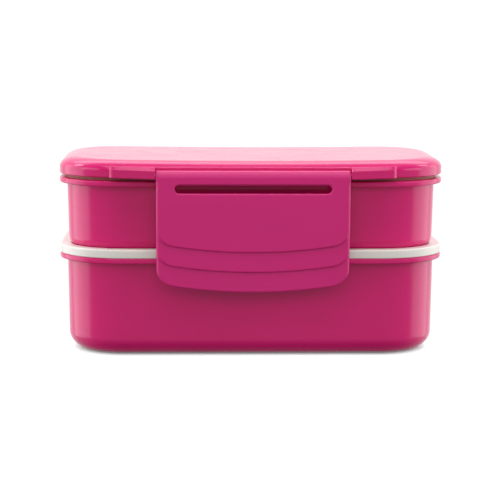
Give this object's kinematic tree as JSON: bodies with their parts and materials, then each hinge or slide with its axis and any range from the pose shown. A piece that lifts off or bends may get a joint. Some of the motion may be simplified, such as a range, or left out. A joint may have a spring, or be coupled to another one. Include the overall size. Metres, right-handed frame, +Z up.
{
  "type": "bento lunch box",
  "caption": "Two-tier moulded lunch box: two rimmed tubs, a middle lid, a sealed top lid with hinged side clips, and sliding partitions.",
  "frame": {"origin": "centre of the base, on the surface the box stands on", "axes": "+X along the long side to the right, -Y towards the front latch, +Z up"},
  "size_m": [0.186, 0.1146, 0.0935],
  "materials": {
    "gloss_pink": "glossy moulded polypropylene with faint flow marks",
    "gloss_pink_lid": "high-gloss moulded polypropylene",
    "satin_pink": "satin fine-textured moulding",
    "white": "semi-gloss white polypropylene",
    "frosted_white": "frosted white polypropylene",
    "silicone": "matte silicone seal"
  },
  "bodies": {
    "lower_container": {"lower_container": "gloss_pink"},
    "lower_divider": {"lower_divider": "frosted_white"},
    "middle_lid": {"middle_lid": "white", "middle_lid_gasket": "silicone"},
    "upper_container": {"upper_container": "gloss_pink"},
    "upper_divider": {"upper_divider": "frosted_white"},
    "lid": {"lid": "gloss_pink_lid", "lid_gasket": "silicone"},
    "front_latch": {"front_latch": "satin_pink"},
    "rear_latch": {"rear_latch": "satin_pink"}
  },
  "joints": [
    {"name": "middle_lid_lift", "type": "slide", "parent": "lower_container", "child": "middle_lid", "axis": [0, 0, 1], "range_m": [0, 0.05]},
    {"name": "upper_container_lift", "type": "slide", "parent": "middle_lid", "child": "upper_container", "axis": [0, 0, 1], "range_m": [0, 0.05]},
    {"name": "lid_lift", "type": "slide", "parent": "upper_container", "child": "lid", "axis": [0, 0, 1], "range_m": [0, 0.05]},
    {"name": "front_latch_swing", "type": "hinge", "parent": "lid", "child": "front_latch", "pos_m": [0, -0.0546, 0.0863], "axis": [-1, 0, 0], "range_deg": [0, 110]},
    {"name": "rear_latch_swing", "type": "hinge", "parent": "lid", "child": "rear_latch", "pos_m": [0, 0.0546, 0.0863], "axis": [1, 0, 0], "range_deg": [0, 110]},
    {"name": "lower_divider_slide", "type": "slide", "parent": "lower_container", "child": "lower_divider", "axis": [1, 0, 0], "range_m": [-0.03, 0.07]},
    {"name": "upper_divider_slide", "type": "slide", "parent": "upper_container", "child": "upper_divider", "axis": [1, 0, 0], "range_m": [-0.07, 0.03]}
  ]
}
